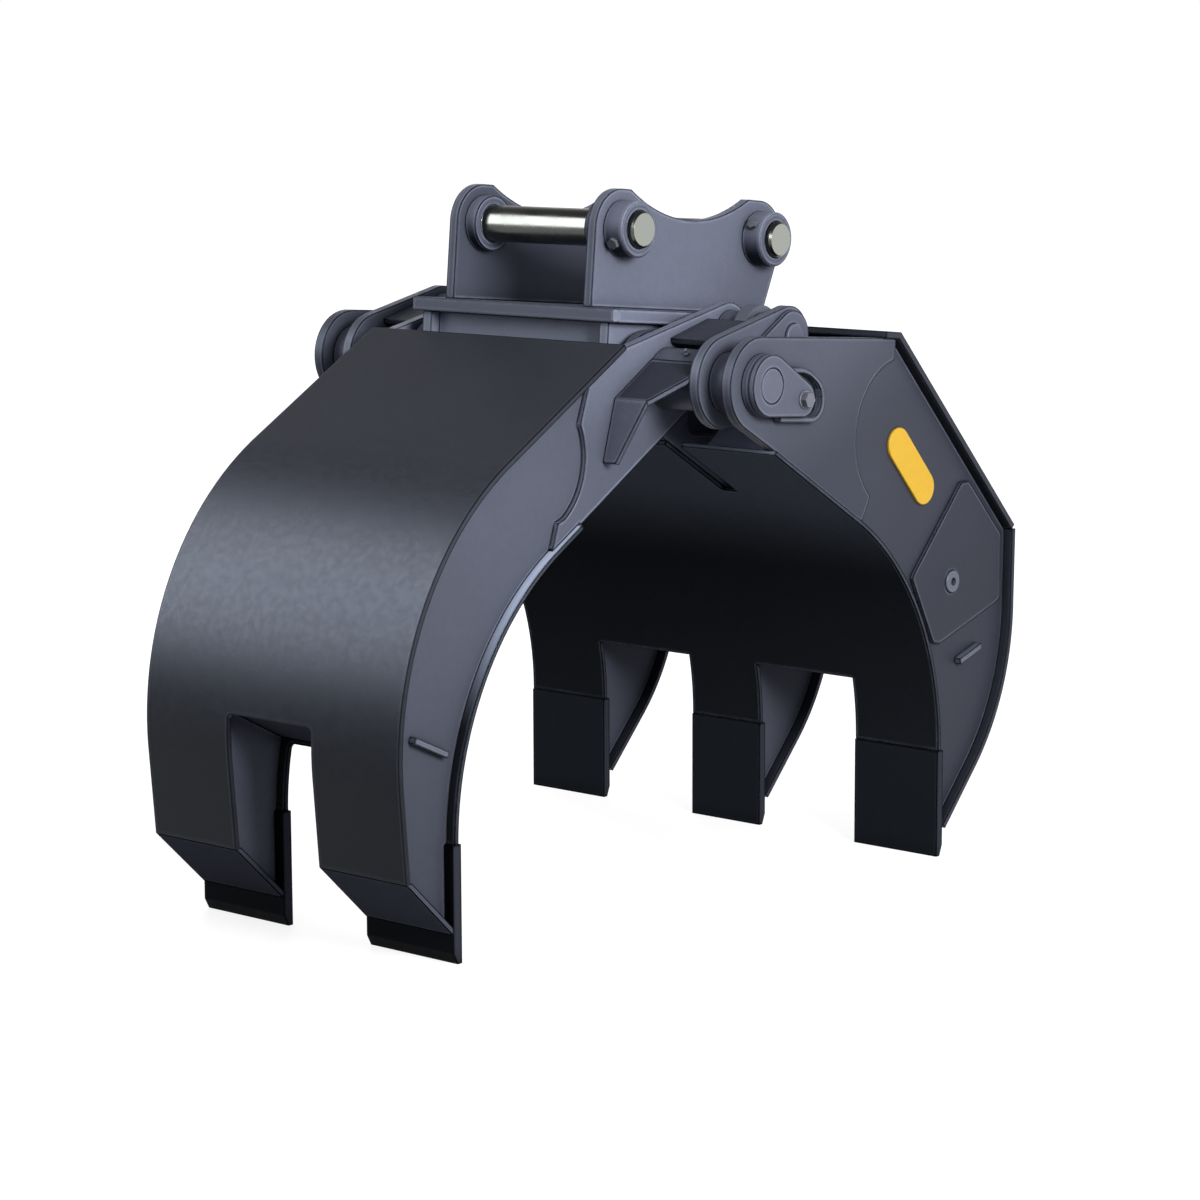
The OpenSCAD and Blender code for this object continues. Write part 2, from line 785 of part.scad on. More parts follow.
// A plate with one round end about the pivot and another about the rod pin
module link_outline(r0, r1) {
    a = atan2(eye[1], eye[0]);
    d = norm(eye);
    g = acos((r0 - r1) / d);
    disc(pivot, r0);
    disc(eye, r1);
    polygon([on(pivot, r0 - blend, a + g), on(eye, r1 - blend, a + g), on(eye, r1 - blend, a - g),
        on(pivot, r0 - blend, a - g)]);
}

module front_link_plates() {
    color(paint) placed() both() slab(link_y0, link_y1) difference() {
        link_outline(link_r, lobe_r);
        disc(pivot, bore_r);
        disc(eye, rod_pin_d / 2);
    }
}

module front_pivot_tubes() {
    color(paint) placed() both() ring(pivot, pivot_tube_d / 2, bore_r, arm_y1, link_y0);
}

module front_gussets() {
    color(dark) placed() both() slab(arm_y1, link_y0) difference() {
        polygon([[9, 72], [136, 117], [132, 129], [5, 84]]);
        disc(pivot, pivot_tube_d / 2);
    }
}

// One straight leaf of a bent plate, from p to q, with its outline in run and width
module leaf(p, q, t) {
    translate([p[0], 0, p[1]]) rotate([0, -atan2(q[1] - p[1], q[0] - p[0]), 0])
        linear_extrude(height = t) children();
}

// A bent brace from the tube down along the arm
module front_braces() {
    a = [-62, 34];
    b = [-171, -45];
    c = [-198, -179];
    y = arm_y1;
    color(dark) placed() both() difference() {
        union() {
            leaf(a, b, 12) polygon([[-10, y], [norm(b - a), y], [norm(b - a), y + 87], [47, link_y0],
                [-10, link_y0]]);
            leaf(b, c, 12) polygon([[0, y], [norm(c - b), y], [norm(c - b), y + 34], [0, y + 87]]);
        }
        slab(0, 700) disc(pivot, pivot_tube_d / 2);
    }
}

module rod_spacers() {
    color(paint) placed() both() {
        ring(eye, 48, rod_pin_d / 2, arm_y1, cyl_y - eye_hw - 0.5);
        ring(eye, 48, rod_pin_d / 2, cyl_y + eye_hw + 0.5, link_y0);
    }
}

module link_bosses() {
    color(paint) placed() both() ring(pivot, lobe_r - 1, bore_r, link_y1, rear_arm_y0 - 0.5);
}

module rod_pins() {
    color(zinc) placed() both() round_bar(eye, rod_pin_d / 2, arm_y0, link_y1 + 17.5, 2);
}

module rod_pin_keepers() {
    e = [112, 61];
    g = 125.2;
    color(paint) placed() both() slab(link_y1, link_y1 + 10) difference() {
        union() {
            disc(eye, 56);
            disc(e, 34);
            polygon([on(eye, 56 - blend, g), on(e, 34 - blend, g), e, on(e, 34 - blend, -70),
                on(eye, 56 - blend, -70), eye]);
        }
        disc(eye, rod_pin_d / 2);
    }
}

module grease_nipples() {
    color(zinc) placed() both() rotate([0, -35, 0]) translate([0, link_y0 - 57, pivot_tube_d / 2 + 0.3])
        rotate_extrude($fn = 32) polygon([[0, 0], [6, 0], [6, 4], [3.5, 6], [3.5, 10], [4.5, 12], [2,
            15], [0, 15]]);
}

lug_a = on(fb_c, front_back_r - 56, 180.1);
lug_b = on(fb_c, front_back_r - 155.6, 184.2);

module front_lugs() {
    color(paint) placed() both() slab(front_side_y1, front_side_y1 + 17)
        polygon([lug_a, lug_b, run(lug_b, 250, 14), run(lug_a, 250, 14)]);
}

// Cylinders
// A rod: its eye turns on the rod pin and its piston slides in the barrel
module along() {
    translate([eye[0], cyl_y, eye[1]]) rotate([0, -cyl_a, 0]) children();
}

module rod() {
    along() difference() {
        union() {
            rotate([90, 0, 0]) cylinder(r = eye_r, h = 2 * eye_hw, center = true, $fn = 96);
            rotate([0, 90, 0]) cylinder(r = rod_d / 2, h = barrel_x1 - 30, $fn = 96);
            translate([40, 0, 0]) rotate([0, 90, 0]) cylinder(r1 = 44, r2 = rod_d / 2, h = 44, $fn = 96);
            translate([barrel_x1 - 90, 0, 0]) rotate([0, 90, 0]) cylinder(r = barrel_in - 0.3, h = 56,
                $fn = 96);
        }
        rotate([90, 0, 0]) cylinder(r = rod_bore_r, h = 200, center = true, $fn = 96);
        for (s = [-1, 1]) translate([-100, s * (100 + eye_hw), -100]) translate([0, -100, 0])
            cube([170, 200, 200]);
    }
}

module rod_near() {
    color(steel) placed() mirror([0, 1, 0]) rod();
}

module rod_far() {
    color(steel) placed() rod();
}

module barrel() {
    along() difference() {
        union() {
            translate([barrel_x0, 0, 0]) rotate([0, 90, 0]) cylinder(d = barrel_d,
                h = barrel_x1 - barrel_x0, $fn = 96);
            translate([cyl_l, 0, 0]) rotate([90, 0, 0]) cylinder(r = base_eye_r, h = 2 * base_eye_hw,
                center = true, $fn = 96);
            translate([barrel_x1 - 40, 0, 48]) cylinder(r = 18, h = 26, $fn = 48);
            translate([barrel_x0 + 70, 0, 48]) cylinder(r = 18, h = 26, $fn = 48);
        }
        translate([barrel_x0 - 1, 0, 0]) rotate([0, 90, 0]) cylinder(r = barrel_in,
            h = barrel_x1 - barrel_x0 - 22, $fn = 96);
        translate([cyl_l, 0, 0]) rotate([90, 0, 0]) cylinder(d = base_bore_d, h = 200, center = true,
            $fn = 96);
    }
}

module barrel_near() {
    color(dark) placed() mirror([0, 1, 0]) barrel();
}

module barrel_far() {
    color(dark) placed() barrel();
}

module gland() {
    along() translate([barrel_x0 - 6, 0, 0]) rotate([0, 90, 0]) difference() {
        union() {
            cylinder(r = barrel_d / 2 - 3, h = 6, $fn = 96);
            cylinder(r = barrel_in, h = gland_w, $fn = 96);
        }
        translate([0, 0, -1]) cylinder(r = rod_d / 2 + 0.3, h = gland_w + 2, $fn = 96);
    }
}

module gland_near() {
    color(zinc) placed() mirror([0, 1, 0]) gland();
}

module gland_far() {
    color(zinc) placed() gland();
}

head_ears();
head_bosses();
head_collars();
hitch_pin_front();
hitch_pin_rear();
hitch_lock_bolts();
head_base_plate();
head_box_walls();
head_box_front();
rear_arm_plates();
rear_side_plates();
rear_inner_webs();
rear_upper_back_plate();
rear_lower_back_plate();
rear_concave_plate();
rear_tine_plates();
rear_gap_roofs();
rear_floor_plates();
rear_outer_blades();
rear_middle_blade();
rear_covers();
cylinder_base_pins();
base_pin_spacers();
main_pivot_pins();
pivot_bosses();
pivot_keepers();
pivot_keeper_bolts();
pivot_keeper_guards();
rear_lugs();
rear_bulkhead();
front_arm_plates();
front_side_plates();
front_back_plate();
front_concave_plate();
front_tine_plates();
front_slot_roof();
front_closing_plates();
front_blades();
front_link_plates();
front_pivot_tubes();
front_gussets();
front_braces();
rod_spacers();
link_bosses();
rod_pins();
rod_pin_keepers();
grease_nipples();
front_lugs();
rod_near();
rod_far();
barrel_near();
barrel_far();
gland_near();
gland_far();
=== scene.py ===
import bpy, bmesh, json, math
from mathutils import Matrix, Vector


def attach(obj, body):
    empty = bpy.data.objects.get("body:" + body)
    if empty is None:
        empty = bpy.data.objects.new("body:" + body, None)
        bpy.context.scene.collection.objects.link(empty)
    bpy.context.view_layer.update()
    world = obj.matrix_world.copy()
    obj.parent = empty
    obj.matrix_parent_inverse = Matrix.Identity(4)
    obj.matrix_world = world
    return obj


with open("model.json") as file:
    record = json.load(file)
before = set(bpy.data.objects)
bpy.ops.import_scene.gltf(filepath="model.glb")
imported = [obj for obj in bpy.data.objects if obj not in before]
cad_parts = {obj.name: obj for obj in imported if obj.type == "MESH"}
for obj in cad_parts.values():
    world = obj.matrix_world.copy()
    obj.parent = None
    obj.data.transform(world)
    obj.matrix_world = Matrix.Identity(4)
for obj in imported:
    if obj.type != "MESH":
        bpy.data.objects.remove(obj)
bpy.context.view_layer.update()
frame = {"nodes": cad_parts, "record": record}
N = frame["nodes"]
scene = bpy.context.scene

# ---- frame: the head's own axes, leaned by the stand tilt about the front hitch pin
TILT = math.radians(5.4048)
COS, SIN = math.cos(TILT), math.sin(TILT)
HITCH_X, HITCH_Z = -8.0, 310.0      # front hitch pin in the head's axes, mm
FLOOR = -1.4390                     # level of the jaws' tips, m
MM = 0.001


def P(x, y, z):
    """A point of the head's axes, in mm, as a place in the model's frame, in metres."""
    return D(x - HITCH_X, y, z - HITCH_Z) * MM


def D(x, y, z):
    """A direction of the head's axes in the model's frame."""
    return Vector((x * COS + z * SIN, y, -x * SIN + z * COS))


# ---- camera, as solved from the photograph
IMAGE = 1200                        # width of the photograph, px
FOCAL = 3404.6                      # focal length, px
SENSOR = 36.0
EYE = P(-5656.3, -4852.8, 200.6)
RIGHT = D(0.63833, -0.76785, 0.05431)
DOWN = D(-0.03760, -0.10158, -0.99412)
AHEAD = D(0.76884, 0.63253, -0.09371)

cam_data = bpy.data.cameras.new("camera")
cam = bpy.data.objects.new("camera", cam_data)
scene.collection.objects.link(cam)
scene.camera = cam
cam_data.sensor_width = SENSOR
cam_data.lens = FOCAL / IMAGE * SENSOR
cam_data.clip_end = 100
stand = Matrix.Identity(4)
for i in range(3):
    stand[i][0], stand[i][1], stand[i][2] = RIGHT[i], -DOWN[i], -AHEAD[i]
stand.translation = EYE
cam.matrix_world = stand


# ---- materials
def new_mat(name):
    """A material, its node tree and its output node."""
    mt = bpy.data.materials.new(name)
    mt.use_nodes = True
    nt = mt.node_tree
    nt.nodes.clear()
    return mt, nt, nt.nodes.new("ShaderNodeOutputMaterial")


def node(nt, kind, **kw):
    n = nt.nodes.new(kind)
    for k, v in kw.items():
        setattr(n, k, v)
    return n


def ramp(nt, src, pts):
    """A smooth step of src: pts are from low, from high, to low, to high."""
    r = node(nt, "ShaderNodeMapRange", interpolation_type="SMOOTHSTEP")
    r.inputs["From Min"].default_value, r.inputs["From Max"].default_value = pts[0], pts[1]
    r.inputs["To Min"].default_value, r.inputs["To Max"].default_value = pts[2], pts[3]
    nt.links.new(src, r.inputs["Value"])
    return r.outputs["Result"]


def math_node(nt, op, a, b):
    n = node(nt, "ShaderNodeMath", operation=op)
    for i, v in enumerate((a, b)):
        if isinstance(v, (int, float)):
            n.inputs[i].default_value = v
        else:
            nt.links.new(v, n.inputs[i])
    return n.outputs[0]


def mixc(nt, fac, a, b, blend="MIX"):
    """A colour mixed from a towards b by fac."""
    n = node(nt, "ShaderNodeMix", data_type="RGBA", blend_type=blend)
    if isinstance(fac, (int, float)):
        n.inputs[0].default_value = fac
    else:
        nt.links.new(fac, n.inputs[0])
    for i, v in ((6, a), (7, b)):
        if isinstance(v, (tuple, list)):
            n.inputs[i].default_value = (*v[:3], 1)
        else:
            nt.links.new(v, n.inputs[i])
    return n.outputs[2]


def noise(nt, vec, scale, detail=3):
    n = node(nt, "ShaderNodeTexNoise")
    n.inputs["Scale"].default_value = scale
    n.inputs["Detail"].default_value = detail
    nt.links.new(vec, n.inputs["Vector"])
    return n.outputs["Fac"]


def occlusion(nt, dist, lo, hi, k):
    """k where another surface is within dist, falling to 0 in the open."""
    ao = node(nt, "ShaderNodeAmbientOcclusion", samples=8)
    ao.inputs["Distance"].default_value = dist
    return ramp(nt, ao.outputs["AO"], (lo, hi, k, 0))


def bevelled(nt, radius):
    """The rounded normal, and how far it is turned from the flat one."""
    bv = node(nt, "ShaderNodeBevel", samples=8)
    bv.inputs["Radius"].default_value = radius
    geo = node(nt, "ShaderNodeNewGeometry")
    dot = node(nt, "ShaderNodeVectorMath", operation="DOT_PRODUCT")
    nt.links.new(bv.outputs[0], dot.inputs[0])
    nt.links.new(geo.outputs["True Normal"], dot.inputs[1])
    return bv.outputs[0], dot.outputs["Value"]


def scaled(col, k):
    return tuple(v * k for v in col)


def split(nt, vec):
    """The X, Y and Z outputs of a vector."""
    n = node(nt, "ShaderNodeSeparateXYZ")
    nt.links.new(vec, n.inputs[0])
    return n.outputs


def paint(name, col, rough=0.45, spec=0.25, grain=1.0, edge=0.0045, line=0.013, glint=2.3, shade_steps=None,
          hollow_shade=0.55, under=0.12, sides=None, slant=0.0, over=1.0, front=1.0, inner=1.0,
          dusk=(-0.85, 0.15)):
    """Satin powder coat: fine grain, soft mottling, a painted highlight on the bevels, painted shade in
    hollows, dark lines where plates meet.

    edge and line are the radii of the shading bevel and of the outline. fade holds steps of painted shade,
    (low, high, share below), darker towards the bottom; slant leans that level along X. under, over, front,
    sides and inner are the colours of faces that look down, up, to -X, sideways, and inwards on the far half:
    painted shade and light by the way a face looks.
    """
    mt, nt, out = new_mat(name)
    L = nt.links.new
    co = node(nt, "ShaderNodeTexCoord").outputs["Object"]
    fine, mid, wide = noise(nt, co, 700, 3), noise(nt, co, 60, 5), noise(nt, co, 3.2, 3)
    # mottling and grain
    c = mixc(nt, ramp(nt, mid, (0.35, 0.65, 0, 0.22 * grain)), col, scaled(col, 1.25))
    c = mixc(nt, ramp(nt, wide, (0.35, 0.65, 0, 0.25 * grain)), c, scaled(col, 0.80))
    speck = noise(nt, co, 420, 2)
    c = mixc(nt, ramp(nt, speck, (0.38, 0.66, 0, 0.30 * grain)), c, scaled(col, 0.72))
    place = split(nt, co)
    # painted shade: each step darkens the colour below its level, towards the bottom of the part
    if shade_steps:
        level = math_node(nt, "SUBTRACT", place["Z"], math_node(nt, "MULTIPLY", place["X"], slant))
        for low, high, share in shade_steps:
            below = ramp(nt, level, (low, high, 1, 0))
            c = mixc(nt, below, c, mixc(nt, 1.0, c, (share, share, share), "MULTIPLY"))
    # painted shade and light by the way the face looks: faces looking down, up, to -X, sideways and inwards on
    # the far half
    face = split(nt, node(nt, "ShaderNodeNewGeometry").outputs["Normal"])
    if sides:
        c = mixc(nt, ramp(nt, math_node(nt, "ABSOLUTE", face["Y"], 0), (0.6, 0.9, 0, 1)), c, sides)
    c = mixc(nt, ramp(nt, face["Z"], (*dusk, 1.0 - under, 0)), c, scaled(col, 0.06))
    if front != 1.0:
        c = mixc(nt, ramp(nt, face["X"], (-0.95, -0.70, 1, 0)), c, scaled(col, front))
    if inner != 1.0:
        facing = ramp(nt, face["Y"], (-0.9, -0.5, 1, 0))
        far_half = ramp(nt, place["Y"], (0.05, 0.12, 0, 1))
        c = mixc(nt, math_node(nt, "MULTIPLY", facing, far_half), c, scaled(col, inner))
    if over != 1.0:
        c = mixc(nt, ramp(nt, face["Z"], (0.35, 0.80, 0, 1)), c, scaled(col, over))
    # painted shade in the hollows and dark crease lines where plates meet, then the painted highlight band
    # along each bevel and the dark outline of each edge
    c = mixc(nt, occlusion(nt, 0.060, 0.25, 0.90, hollow_shade), c, scaled(col, 0.12))
    c = mixc(nt, occlusion(nt, 0.0065, 0.35, 0.80, 0.88), c, scaled(col, 0.04))
    normal, turn = bevelled(nt, edge)[0], bevelled(nt, line)[1]
    band = math_node(nt, "MULTIPLY", ramp(nt, turn, (0.925, 0.965, 0, 1)), ramp(nt, turn, (0.972, 0.999, 1, 0)))
    patchy = ramp(nt, noise(nt, co, 18, 4), (0.30, 0.62, 0.55, 1))
    bevel_highlight = math_node(nt, "MULTIPLY", math_node(nt, "MULTIPLY", band, patchy), 0.6)
    c = mixc(nt, bevel_highlight, c, tuple(min(1, v * glint + 0.01) for v in col))
    c = mixc(nt, ramp(nt, turn, (0.83, 0.94, 0.95, 0)), c, scaled(col, 0.03))
    b = node(nt, "ShaderNodeBsdfPrincipled")
    L(c, b.inputs["Base Color"])
    b.inputs["Specular IOR Level"].default_value = spec
    b.inputs["Specular Tint"].default_value = (0.62, 0.74, 1.0, 1)
    L(ramp(nt, mid, (0.3, 0.7, rough - 0.04, rough + 0.05)), b.inputs["Roughness"])
    bump = node(nt, "ShaderNodeBump")
    bump.inputs["Strength"].default_value = 0.30 * grain
    bump.inputs["Distance"].default_value = 0.0007
    L(fine, bump.inputs["Height"])
    L(normal, bump.inputs["Normal"])
    L(bump.outputs[0], b.inputs["Normal"])
    L(b.outputs[0], out.inputs["Surface"])
    return mt


ROD_PIN = P(207, 0, 101)
EYE_REACH = 0.118                   # how far the eye's paint goes from the rod pin, m


def steel(name, col, rough, lines=0.5, ends=1.0, eye=None):
    """Ground steel with fine lines of turning. ends scales the end faces' colour, a painted light; eye is the
    paint of the rod eye, which covers everything within its radius of the rod pin."""
    mt, nt, out = new_mat(name)
    L = nt.links.new
    co = node(nt, "ShaderNodeTexCoord").outputs["Object"]
    mp = node(nt, "ShaderNodeMapping")
    mp.inputs["Scale"].default_value = (1, 400, 1)
    L(co, mp.inputs["Vector"])
    nz = node(nt, "ShaderNodeTexNoise")
    nz.inputs["Scale"].default_value = 6
    nz.inputs["Detail"].default_value = 4
    L(mp.outputs[0], nz.inputs["Vector"])
    sm = node(nt, "ShaderNodeTexNoise")
    sm.inputs["Scale"].default_value = 14
    L(co, sm.inputs["Vector"])
    c = mixc(nt, ramp(nt, nz.outputs["Fac"], (0.35, 0.65, 0, 0.35 * lines)), col, scaled(col, 0.7))
    c = mixc(nt, ramp(nt, sm.outputs["Fac"], (0.4, 0.7, 0, 0.25)), c, scaled(col, 0.82))
    # painted light: the end faces are lighter than the barrel
    if ends != 1.0:
        face = split(nt, node(nt, "ShaderNodeNewGeometry").outputs["True Normal"])
        c = mixc(nt, ramp(nt, math_node(nt, "ABSOLUTE", face["Y"], 0), (0.7, 0.95, 0, 1)), c, scaled(col, ends))
    bv = node(nt, "ShaderNodeBevel", samples=6)
    bv.inputs["Radius"].default_value = 0.002
    b = node(nt, "ShaderNodeBsdfPrincipled")
    b.inputs["Metallic"].default_value = 1.0
    shine = ramp(nt, sm.outputs["Fac"], (0.3, 0.7, rough - 0.05, rough + 0.07))
    if eye:
        off = node(nt, "ShaderNodeVectorMath", operation="SUBTRACT")
        L(co, off.inputs[0])
        off.inputs[1].default_value = ROD_PIN
        flat = node(nt, "ShaderNodeVectorMath", operation="MULTIPLY")
        L(off.outputs[0], flat.inputs[0])
        flat.inputs[1].default_value = (1, 0, 1)
        reach = node(nt, "ShaderNodeVectorMath", operation="LENGTH")
        L(flat.outputs[0], reach.inputs[0])
        bare = ramp(nt, reach.outputs["Value"], (EYE_REACH, EYE_REACH + 0.004, 0, 1))
        c = mixc(nt, bare, eye, c)
        L(bare, b.inputs["Metallic"])
        painted = math_node(nt, "SUBTRACT", 1.0, bare)
        shine = math_node(nt, "ADD", shine, math_node(nt, "MULTIPLY", painted, 0.3))
    L(c, b.inputs["Base Color"])
    L(shine, b.inputs["Roughness"])
    bump = node(nt, "ShaderNodeBump")
    bump.inputs["Strength"].default_value = 0.08
    bump.inputs["Distance"].default_value = 0.0005
    L(nz.outputs["Fac"], bump.inputs["Height"])
    L(bv.outputs[0], bump.inputs["Normal"])
    L(bump.outputs[0], b.inputs["Normal"])
    L(b.outputs[0], out.inputs["Surface"])
    return mt


def tint(v, r=1.0, g=1.10, b=1.50):
    """The slate hue at level v."""
    return (v * r, v * g, v * b)


# painted shade: the rear jaw darkens down its side in two steps
REAR_SHADE = [(-0.62, -0.30, 0.58), (-1.20, -0.62, 0.77)]
# each part's level of the one slate paint is set to paint light and shade on it: the ears, base, bosses, box,
# front arms and rear floor plates are painted lighter, and the rear arms, side plates, covers, rear tines,
# gussets, closing plates and concave plates darker; the front blades are a darker level of the blade paint, a
# painted shade
M_paint = paint("paint_slate", tint(0.120), spec=0.18)
# the far ear's inner faces are painted darker, a painted shadow of the near ear; faces towards -X are painted
# darker
M_head = paint("paint_head", tint(0.185), spec=0.06, front=0.60, shade_steps=[(-0.50, -0.22, 0.70)], slant=0.6,
               inner=0.50)
M_base = paint("paint_base", tint(0.205), spec=0.06, front=0.60, over=0.92)
# painted shade: the bosses and collars darken deeply on their undersides and lower sides
M_boss = paint("paint_boss", tint(0.205), spec=0.03, under=0.0, dusk=(-0.60, 0.50))
M_box = paint("paint_box", tint(0.255), spec=0.10, hollow_shade=0.2)
M_arm = paint("paint_front_arm", tint(0.200), spec=0.15, shade_steps=[(-0.46, -0.20, 0.60)])
M_rarm = paint("paint_rear_arm", tint(0.102), spec=0.12, shade_steps=REAR_SHADE, slant=0.4)
M_cover = paint("paint_cover", tint(0.096), spec=0.10, shade_steps=REAR_SHADE, slant=0.4)
M_fside = paint("paint_front_side", tint(0.115), spec=0.12, shade_steps=[(-1.30, -0.40, 0.55)])
# painted shade: the front shell darkens to near black towards its tines
M_front = paint("paint_front_shell", tint(0.036), rough=0.36, spec=0.16, grain=1.3,
                shade_steps=[(-1.05, -0.62, 0.05)], under=1.0)
M_dark = paint("paint_dark", tint(0.034), spec=0.15)
# the concave plates: painted shade down the plate and on their sideways faces, painted light on faces that look
# up
M_inner = paint("paint_inner", tint(0.082, 1, 1.15, 1.5), spec=0.0, rough=0.6, shade_steps=[(-0.80, -0.55, 0.20)],
                under=1.0, sides=tint(0.040), over=9.0)
# painted light: the rear floor plates sit in shade and are painted far lighter
M_floor = paint("paint_floor_plate", tint(0.600), spec=0.1, rough=0.55, hollow_shade=0.1)
M_web = paint("paint_web", tint(0.120), spec=0.1, rough=0.55, hollow_shade=0.2)
M_blade = paint("paint_blade", tint(0.015, 1, 1.2, 1.6), spec=0.02, rough=0.5, sides=tint(0.040))
M_tip = paint("paint_front_blade", tint(0.004, 1, 1.2, 1.6), spec=0.02, rough=0.5, sides=tint(0.040))
M_close = paint("paint_closing", tint(0.070), spec=0.0, under=1.0)
M_tine = paint("paint_tine", tint(0.120), spec=0.06)
M_rtine = paint("paint_rear_tine", tint(0.082), spec=0.04)
# painted shade: the braces' upward faces are painted darker, and the gussets are a darker level
M_brace = paint("paint_brace", tint(0.132), spec=0.05, hollow_shade=0.3, grain=1.5, over=0.35)
M_gusset = paint("paint_gusset", tint(0.055), spec=0.10, grain=1.6)
M_pin = steel("pin_ground", (0.082, 0.086, 0.079), rough=0.24, ends=4.6)
M_chrome = steel("rod_chrome", (0.42, 0.42, 0.44), rough=0.12, lines=0.2, eye=tint(0.110))
M_fit = paint("fitting_paint", tint(0.130), rough=0.32, spec=0.3, line=0.005, edge=0.002)
M_bolt = paint("bolt_zinc", (0.17, 0.18, 0.21), rough=0.30, spec=0.4, line=0.003, edge=0.0015)

pick = {"paint": M_paint, "dark_paint": M_dark, "blade_paint": M_blade, "pin_steel": M_pin,
        "rod_chrome": M_chrome, "fitting_steel": M_fit}
slots = {s["node"]: s["material_slot"] for s in frame["record"]["subparts"]}
special = {
    M_head: ("head_ears",),
    M_base: ("head_base_plate",),
    M_box: ("head_box_front", "head_box_walls"),
    M_boss: ("head_bosses", "head_collars"),
    M_bolt: ("pivot_keeper_bolts", "hitch_lock_bolts"),
    M_rarm: ("rear_arm_plates", "rear_side_plates"),
    M_cover: ("rear_covers",),
    M_dark: ("rear_lower_back_plate",),
    M_web: ("rear_inner_webs", "rear_bulkhead"),
    M_floor: ("rear_floor_plates",),
    M_rtine: ("rear_tine_plates",),
    M_inner: ("rear_concave_plate", "front_concave_plate"),
    M_arm: ("front_arm_plates",),
    M_brace: ("front_braces",),
    M_gusset: ("front_gussets",),
    M_fside: ("front_side_plates",),
    M_front: ("front_back_plate",),
    M_tine: ("front_tine_plates",),
    M_close: ("front_closing_plates", "front_slot_roof", "rear_gap_roofs"),
    M_tip: ("front_blades",),
}
own = {name: mat for mat, names in special.items() for name in names}
for name, o in N.items():
    o.data.materials.clear()
    o.data.materials.append(own.get(name) or pick[slots[name]])

# ---- a plain raised bar in yellow enamel on each rear side plate
M_bar = paint("bar_enamel", (0.84, 0.50, 0.03), rough=0.34, spec=0.35, grain=0.5, line=0.004, edge=0.002,
              glint=1.3, hollow_shade=0.2, under=0.5)


def raised_bar(name, side):
    """A slanted bar with round ends and a chamfered rim, on the side plate's outer face."""
    a, b, r = (532, -126), (640, -222), 38.0       # centres of the round ends, and their radius, mm
    y0, y1, rim = 582.3, 589.5, 1.6                # from just inside the plate's face to the bar's top
    t = math.atan2(b[1] - a[1], b[0] - a[0])
    bm = bmesh.new()

    def loop(rad, y):
        pts = []
        for c, t0 in ((b, t - math.pi / 2), (a, t + math.pi / 2)):
            for i in range(25):
                w = t0 + math.pi * i / 24
                pts.append(bm.verts.new(P(c[0] + rad * math.cos(w), side * y, c[1] + rad * math.sin(w))))
        return pts
    rows = [loop(r, y0), loop(r, y1 - rim), loop(r - rim, y1)]
    for u, v in zip(rows, rows[1:]):
        for i in range(len(u)):
            j = (i + 1) % len(u)
            bm.faces.new((u[i], u[j], v[j], v[i]))
    bm.faces.new(rows[-1])
    bm.faces.new(list(reversed(rows[0])))
    bmesh.ops.recalc_face_normals(bm, faces=bm.faces[:])
    me = bpy.data.meshes.new(name)
    bm.to_mesh(me)
    bm.free()
    o = bpy.data.objects.new(name, me)
    scene.collection.objects.link(o)
    me.materials.append(M_bar)
    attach(o, "rear_jaw")


raised_bar("yellow_bar_near", -1)
raised_bar("yellow_bar_far", 1)

# ---- floor, world and lamps
def seen_rays(nt):
    """1 for camera, glossy and transmission rays, which see the pale studio; 0 for the light itself."""
    lp = node(nt, "ShaderNodeLightPath").outputs
    return math_node(nt, "MAXIMUM", math_node(nt, "MAXIMUM", lp["Is Camera Ray"], lp["Is Glossy Ray"]),
                     lp["Is Transmission Ray"])


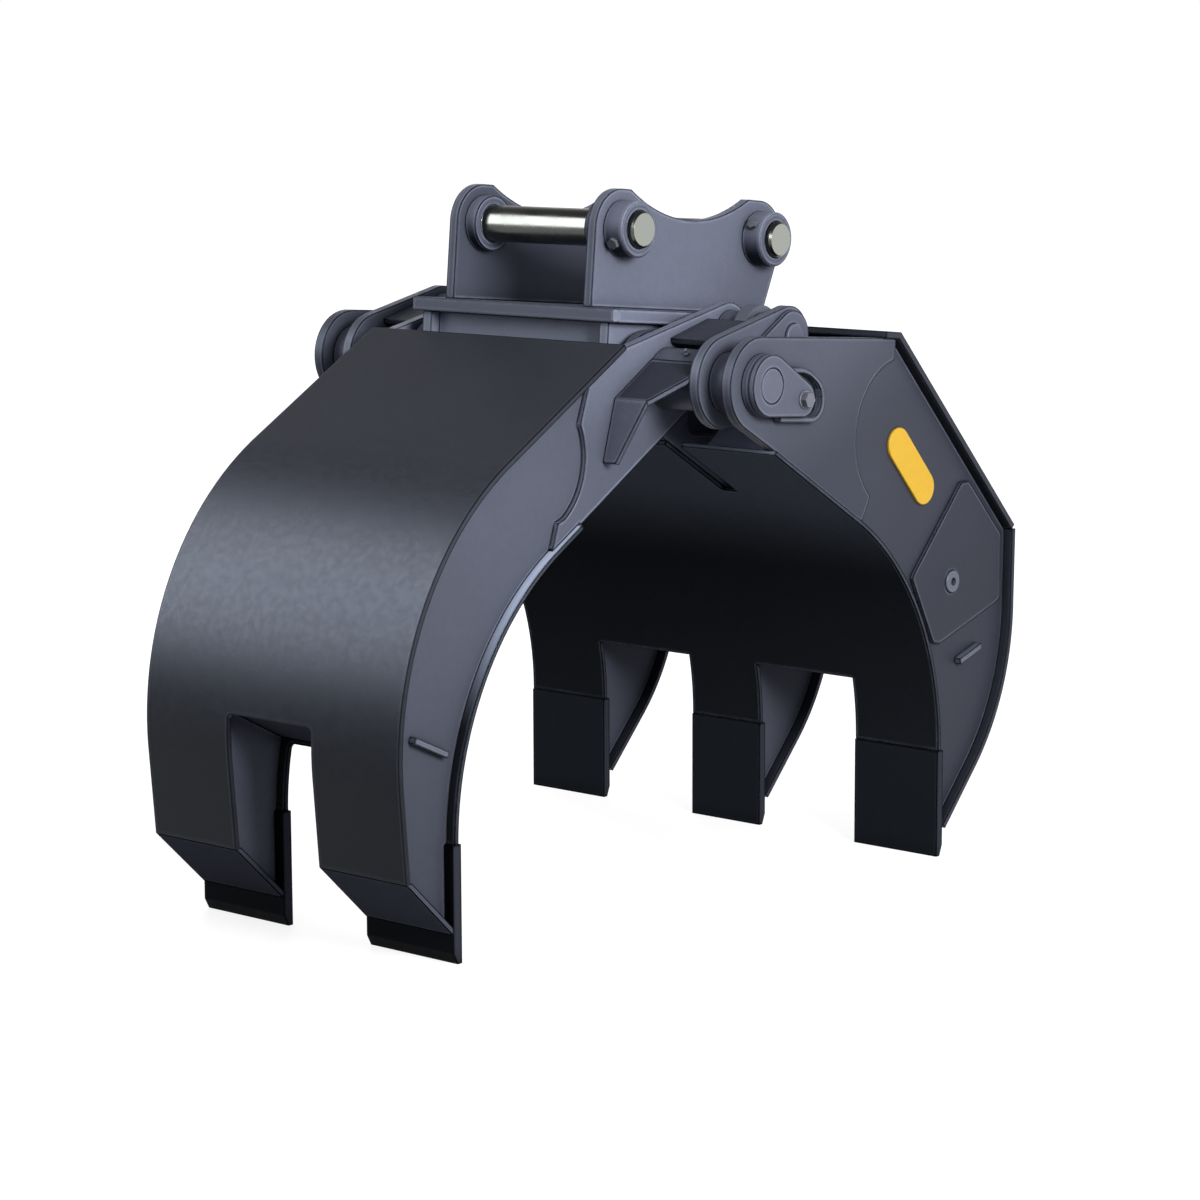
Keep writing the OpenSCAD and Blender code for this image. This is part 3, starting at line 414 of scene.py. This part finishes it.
fl = bpy.data.meshes.new("floor")
bm = bmesh.new()
bmesh.ops.create_circle(bm, cap_ends=True, radius=30, segments=64)
bm.to_mesh(fl)
bm.free()
floor = bpy.data.objects.new("floor", fl)
floor.location.z = FLOOR - 0.0005
scene.collection.objects.link(floor)
fm, nt, out = new_mat("floor_pale")
seen = seen_rays(nt)
dif = node(nt, "ShaderNodeBsdfDiffuse")
dif.inputs["Color"].default_value = (0.35, 0.35, 0.35, 1)
em = node(nt, "ShaderNodeEmission")
em.inputs["Color"].default_value = (1, 1, 1, 1)
far = node(nt, "ShaderNodeVectorMath", operation="LENGTH")
nt.links.new(node(nt, "ShaderNodeTexCoord").outputs["Object"], far.inputs[0])
nt.links.new(math_node(nt, "MULTIPLY", seen, ramp(nt, far.outputs["Value"], (2.5, 9.0, 0.84, 0.97))),
             em.inputs["Strength"])
ad = node(nt, "ShaderNodeAddShader")
nt.links.new(dif.outputs[0], ad.inputs[0])
nt.links.new(em.outputs[0], ad.inputs[1])
nt.links.new(ad.outputs[0], out.inputs["Surface"])
fl.materials.append(fm)

world = bpy.data.worlds.new("studio")
scene.world = world
world.use_nodes = True
wt = world.node_tree
bg = wt.nodes["Background"]
seen = seen_rays(wt)
height = split(wt, node(wt, "ShaderNodeTexCoord").outputs["Generated"])["Z"]
dome = ramp(wt, height, (0.22, 0.75, 1.0, 0.22))
soft = ramp(wt, height, (-0.1, 0.9, 0.12, 0.50))
ambient = math_node(wt, "MULTIPLY", math_node(wt, "SUBTRACT", 1.0, seen), soft)
wt.links.new(math_node(wt, "ADD", math_node(wt, "MULTIPLY", seen, dome), ambient), bg.inputs["Strength"])
bg.inputs["Color"].default_value = (1, 1, 1, 1)


def lamp(name, off, aim, size, power, col):
    """An area lamp at CENTRE + off that points at CENTRE + aim."""
    ld = bpy.data.lights.new(name, "AREA")
    ld.shape = "RECTANGLE"
    ld.size, ld.size_y = size
    ld.energy = power
    ld.color = col
    o = bpy.data.objects.new(name, ld)
    scene.collection.objects.link(o)
    o.location = CENTRE + Vector(off)
    o.rotation_mode = "QUATERNION"
    o.rotation_quaternion = (Vector(aim) - Vector(off)).to_track_quat("-Z", "Y")
    o.visible_camera = False
    return o


CENTRE = Vector((0.0, 0.0, -0.7))
lamp("key_near", (-1.5, -4.9, 1.9), (0, 0, 0.2), (2.2, 1.6), 250, (1, 0.995, 0.985))
# the strip gives the front shell its soft light band, and no other light
strip = lamp("strip_left", (-3.25, 3.1, 2.4), (-0.4, -0.2, 0), (3.2, 3.6), 480, (0.97, 0.98, 1))
strip.visible_diffuse = False
# the fill lights the back and the far side, and isn't mirrored
fill = lamp("fill_back", (3.3, 4.0, 2.0), (0, 0, 0.1), (2.4, 1.6), 150, (1, 0.998, 0.99))
fill.visible_glossy = False

scene.view_settings.view_transform = "Standard"
